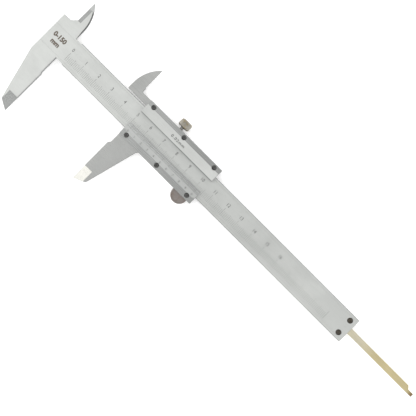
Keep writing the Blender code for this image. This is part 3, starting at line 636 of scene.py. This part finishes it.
def make_knob():
    """The lock screw's knob, finely knurled and with rounded ends."""
    axis_x, axis_z = (KNOB_LOW.x + KNOB_HIGH.x) / 2, (KNOB_LOW.z + KNOB_HIGH.z) / 2
    radius, height = (KNOB_HIGH.x - KNOB_LOW.x) / 2, KNOB_HIGH.y - KNOB_LOW.y
    ridges, ridge_depth, corner = 40, 0.2 * MM, 1.2 * MM
    bore, cap = 0.95 * MM, 1.3 * MM  # cap is the metal beyond the bore's end
    dish_radius, dish_depth = radius - 1.8 * MM, 0.15 * MM
    profile = [
        (bore, height - cap),
        (bore, 0),
        (radius - corner, 0),
        *rounded((radius - corner, corner), corner, -75, 0, 5),
        *rounded((radius - corner, height - corner), corner, 0, 90, 6),
        (dish_radius, height),
        (dish_radius - dish_depth, height - dish_depth),
    ]
    place = Matrix.Translation((axis_x, KNOB_LOW.y, axis_z)) @ Matrix.Rotation(-math.pi / 2, 4, "X")
    bm = bmesh.new()
    add_turned(bm, profile, place, POINTS_PER_RIDGE * ridges, ridged(ridge_depth, ridges, radius))
    knob = mesh_piece("knurled_knob", bm, "lock_screw", FINISHES["knob"], smooth=True)
    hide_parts("lock_screw_knob")


def make_roller():
    """The thumb roller, with a milled rim, a plain front and a bore from behind."""
    centre = (ROLLER_LOW + ROLLER_HIGH) / 2
    radius, height = (ROLLER_HIGH.x - ROLLER_LOW.x) / 2, ROLLER_HIGH.z - ROLLER_LOW.z
    ridges, ridge_depth, corner = 64, 0.16 * MM, 0.35 * MM
    bore, cap = 1.05 * MM, 0.6 * MM  # cap is the metal beyond the bore's end
    rim, dish_depth = 0.9 * MM, 0.12 * MM
    profile = [
        (bore, height - cap),
        (bore, 0),
        (radius - corner, 0),
        *rounded((radius - corner, corner), corner, -70, 0, 4),
        *rounded((radius - corner, height - corner), corner, 0, 90, 5),
        (radius - rim, height),
        (radius - rim - dish_depth, height - dish_depth),
    ]
    place = Matrix.Translation((centre.x, centre.y, ROLLER_LOW.z))
    bm = bmesh.new()
    add_turned(bm, profile, place, POINTS_PER_RIDGE * ridges, ridged(ridge_depth, ridges, radius))
    roller = mesh_piece("milled_roller", bm, "thumb_roller", FINISHES["roller"], smooth=True)
    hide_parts("thumb_roller")


# ---- Studio ----

WORLD_STRENGTH = 1.23
LIGHTS = {
    "key": {"direction": (-0.68, -0.18, 0.71), "distance": 0.8, "size": 0.3, "radiance": 3.4},
    "fill": {"direction": (0.5, -0.6, 0.7), "distance": 1.2, "size": 0.6, "radiance": 0.56},
}


def make_floor():
    """A wide floor, a hair below the caliper's back."""
    half_width, gap = 3.0, 0.02 * MM
    bm = bmesh.new()
    bmesh.ops.create_grid(bm, x_segments=1, y_segments=1, size=half_width)
    mesh = bpy.data.meshes.new("floor")
    bm.to_mesh(mesh)
    bm.free()
    mesh.materials.append(floor_finish())
    floor = bpy.data.objects.new("floor", mesh)
    floor.location.z = cad_box[0].z - gap
    bpy.context.scene.collection.objects.link(floor)


def add_light(name, direction, distance, size, radiance):
    """A square soft light that faces the caliper from a direction."""
    light = bpy.data.lights.new(name, "AREA")
    light.size = size
    light.energy = radiance * math.pi * size * size
    lamp = bpy.data.objects.new(name, light)
    direction = Vector(direction).normalized()
    lamp.location = VIEW_AIM + direction * distance
    lamp.rotation_euler = direction.to_track_quat("Z", "Y").to_euler()
    bpy.context.scene.collection.objects.link(lamp)


def make_world():
    """Even white light from all round."""
    world = bpy.data.worlds.new("studio")
    world.use_nodes = True
    background = world.node_tree.nodes["Background"]
    background.inputs["Color"].default_value = (1.0, 1.0, 1.0, 1.0)
    background.inputs["Strength"].default_value = WORLD_STRENGTH
    bpy.context.scene.world = world


def make_camera():
    """A camera that looks straight down, turned as in the photograph."""
    camera = bpy.data.cameras.new("camera")
    camera.lens = VIEW_LENS
    camera.sensor_width = 36
    camera.clip_start, camera.clip_end = 0.01, 10
    viewer = bpy.data.objects.new("camera", camera)
    viewer.location = VIEW_AIM + Vector((0, 0, VIEW_DISTANCE))
    viewer.rotation_euler = (0, 0, VIEW_TURN)
    bpy.context.scene.collection.objects.link(viewer)
    bpy.context.scene.camera = viewer


def make_studio():
    """The camera, the world, the floor and the lights."""
    bpy.context.scene.view_settings.view_transform = "Standard"
    make_camera()
    make_world()
    make_floor()
    for name, settings in LIGHTS.items():
        add_light(name, **settings)


make_studio()
finish_nodes()
make_main_scale()
make_vernier_scale()
make_labels()
make_knob()
make_roller()
